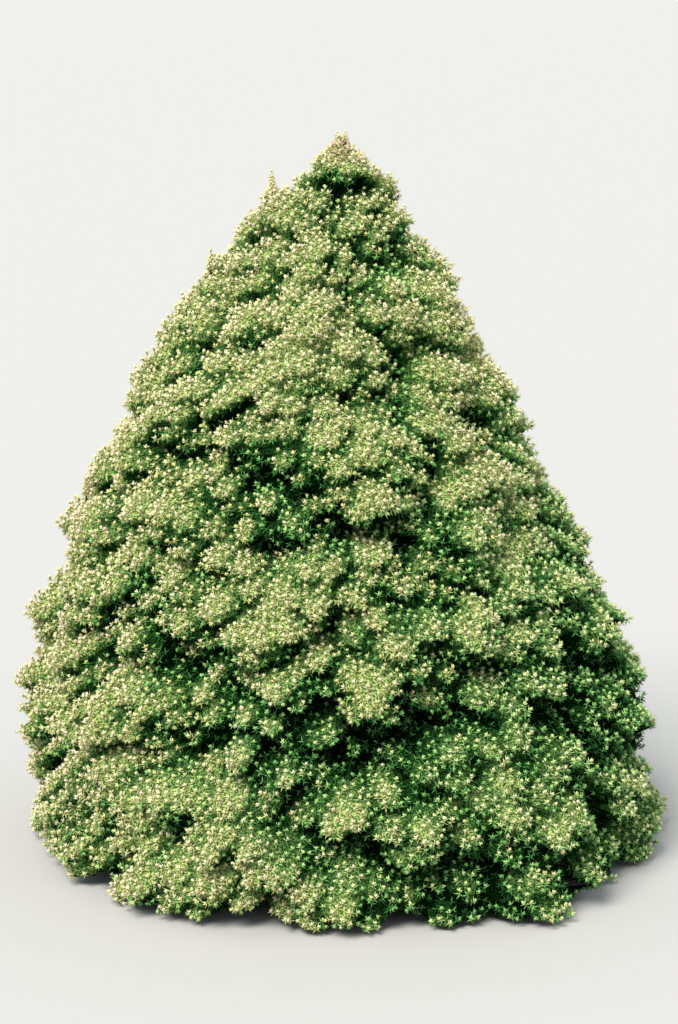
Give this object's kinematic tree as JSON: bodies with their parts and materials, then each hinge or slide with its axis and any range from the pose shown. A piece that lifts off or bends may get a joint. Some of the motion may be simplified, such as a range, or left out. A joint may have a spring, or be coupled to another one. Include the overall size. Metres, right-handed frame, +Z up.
{
  "type": "white spruce tree",
  "caption": "Dwarf white spruce tree, a dense cone of short needled shoots in billowing cushions, carried by hidden boughs round a short trunk.",
  "frame": {"origin": "middle of the flat cut under the trunk, at ground level", "axes": "+Z up along the trunk; -Y towards the front, the side that the picture shows; +X towards that side's right"},
  "size_m": [1.0819, 1.0996, 1.1444],
  "materials": {
    "bark": "rough bark",
    "needles_light": "yellow-green young shoots",
    "needles_mid": "mid-green needles",
    "needles_cream": "cream-tipped shoots"
  },
  "bodies": {
    "root": {"trunk": "bark", "skirt_bough_1": "bark", "skirt_bough_2": "bark", "skirt_bough_3": "bark", "skirt_bough_4": "bark", "skirt_bough_5": "bark", "skirt_bough_6": "bark", "skirt_bough_7": "bark", "skirt_bough_8": "bark", "skirt_bough_9": "bark", "lower_bough_1": "bark", "lower_bough_2": "bark", "lower_bough_3": "bark", "lower_bough_4": "bark", "lower_bough_5": "bark", "lower_bough_6": "bark", "lower_bough_7": "bark", "middle_bough_1": "bark", "middle_bough_2": "bark", "middle_bough_3": "bark", "middle_bough_4": "bark", "middle_bough_5": "bark", "middle_bough_6": "bark", "upper_bough_1": "bark", "upper_bough_2": "bark", "upper_bough_3": "bark", "upper_bough_4": "bark", "upper_bough_5": "bark", "skirt_foliage_1": "needles_light", "skirt_foliage_2": "needles_mid", "skirt_foliage_3": "needles_cream", "skirt_foliage_4": "needles_light", "skirt_foliage_5": "needles_mid", "skirt_foliage_6": "needles_cream", "skirt_foliage_7": "needles_light", "skirt_foliage_8": "needles_mid", "skirt_foliage_9": "needles_cream", "lower_foliage_1": "needles_light", "lower_foliage_2": "needles_mid", "lower_foliage_3": "needles_cream", "lower_foliage_4": "needles_light", "lower_foliage_5": "needles_mid", "lower_foliage_6": "needles_cream", "lower_foliage_7": "needles_light", "middle_foliage_1": "needles_mid", "middle_foliage_2": "needles_cream", "middle_foliage_3": "needles_light", "middle_foliage_4": "needles_mid", "middle_foliage_5": "needles_cream", "middle_foliage_6": "needles_light", "upper_foliage_1": "needles_mid", "upper_foliage_2": "needles_cream", "upper_foliage_3": "needles_light", "upper_foliage_4": "needles_mid", "upper_foliage_5": "needles_cream", "crest_foliage_1": "needles_light", "crest_foliage_2": "needles_mid", "crest_foliage_3": "needles_cream", "top_foliage": "needles_light"}
  },
  "joints": []
}
